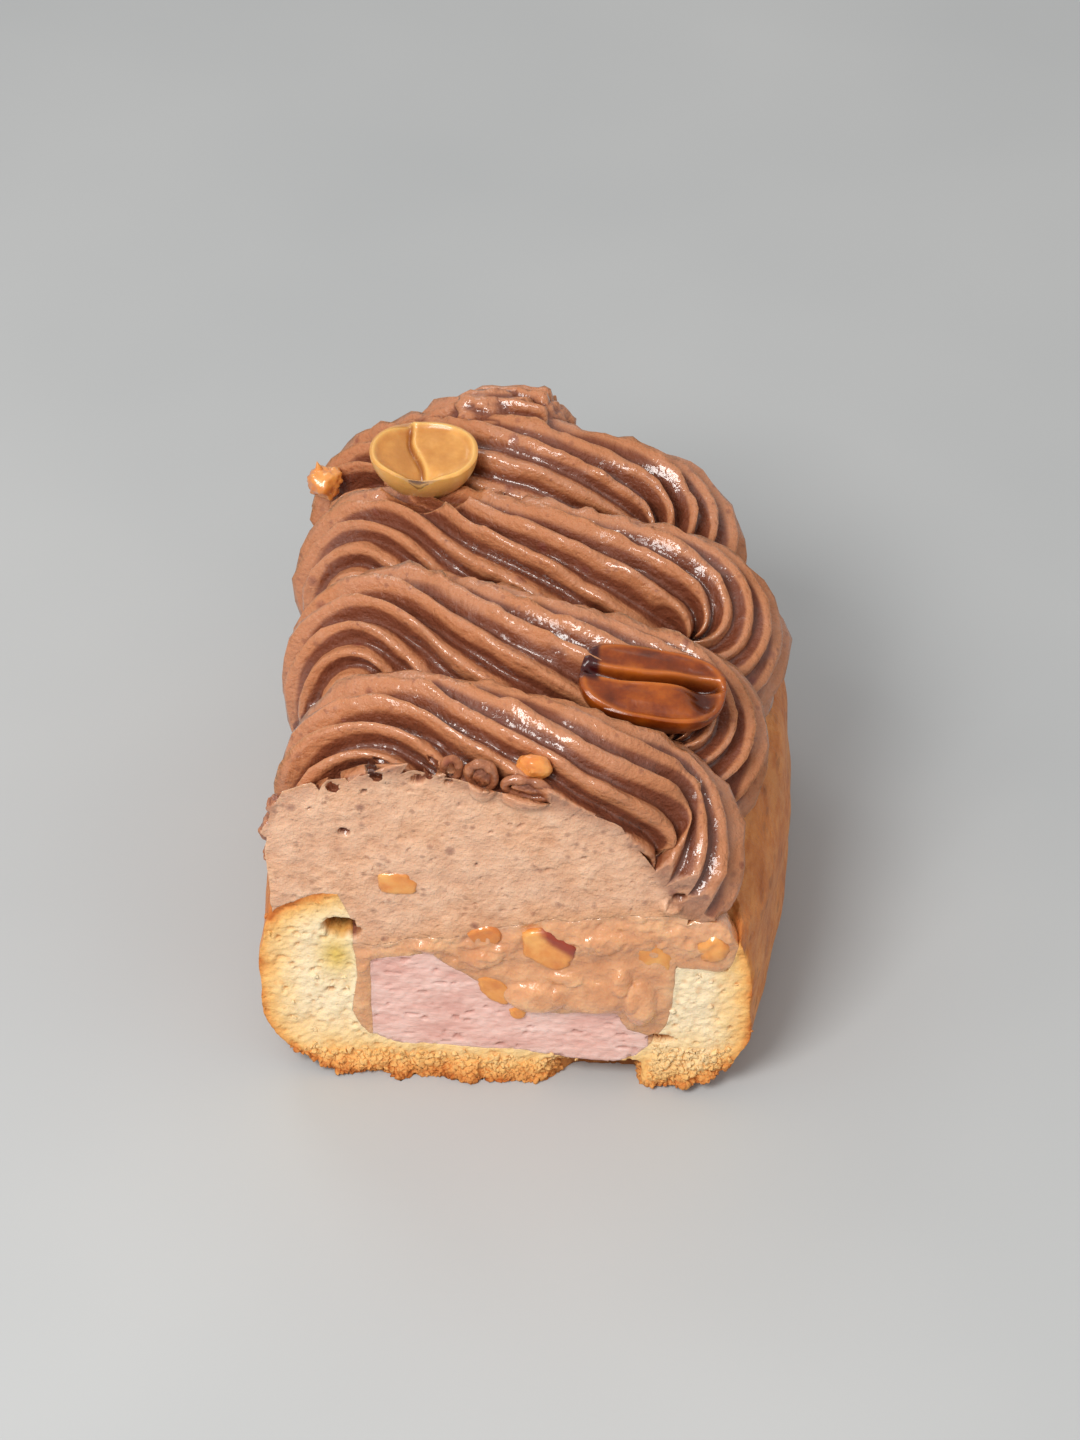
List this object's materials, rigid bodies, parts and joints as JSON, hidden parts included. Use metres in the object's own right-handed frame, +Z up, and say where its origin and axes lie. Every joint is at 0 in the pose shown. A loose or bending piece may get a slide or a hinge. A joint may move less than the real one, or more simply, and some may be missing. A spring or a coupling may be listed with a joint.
{
  "type": "eclair",
  "caption": "Half of a filled eclair, cut across: open choux shell, pink mousse and nut caramel at the cut, chocolate cream piped on top in a fluted zigzag, peanut halves.",
  "frame": {"origin": "middle of the part's bounding box at the flat underside that it rests on", "axes": "+Y along the eclair from the cut face to the rounded end, +Z up, +X to the right seen from the cut face"},
  "size_m": [0.051, 0.064, 0.0428],
  "materials": {
    "choux_pastry": "matt, fine-grained baked crust; stands in for choux pastry",
    "pink_mousse": "matt, slightly torn; stands in for mousse",
    "nut_caramel": "wet gloss; stands in for soft caramel",
    "chocolate_cream": "moist satin; stands in for whipped chocolate cream",
    "caramelised_peanut": "glossy and slightly translucent; stands in for caramelised peanut",
    "peanut": "satin; stands in for blanched roasted peanut"
  },
  "bodies": {
    "root": {"choux_shell": "choux_pastry", "pink_mousse": "pink_mousse", "caramel_layer": "nut_caramel", "piped_cream": "chocolate_cream", "peanut_half_roasted": "caramelised_peanut", "peanut_half_blanched": "peanut", "nut_piece_with_skin": "peanut", "nut_piece_pale": "peanut", "nut_piece_golden": "peanut", "nut_piece_glazed": "peanut", "nut_piece_on_rim": "peanut", "nut_piece_in_cream": "peanut", "nut_crumb_at_cut": "peanut", "nut_piece_in_piping": "peanut", "nut_crumb_on_side": "caramelised_peanut"}
  },
  "joints": []
}
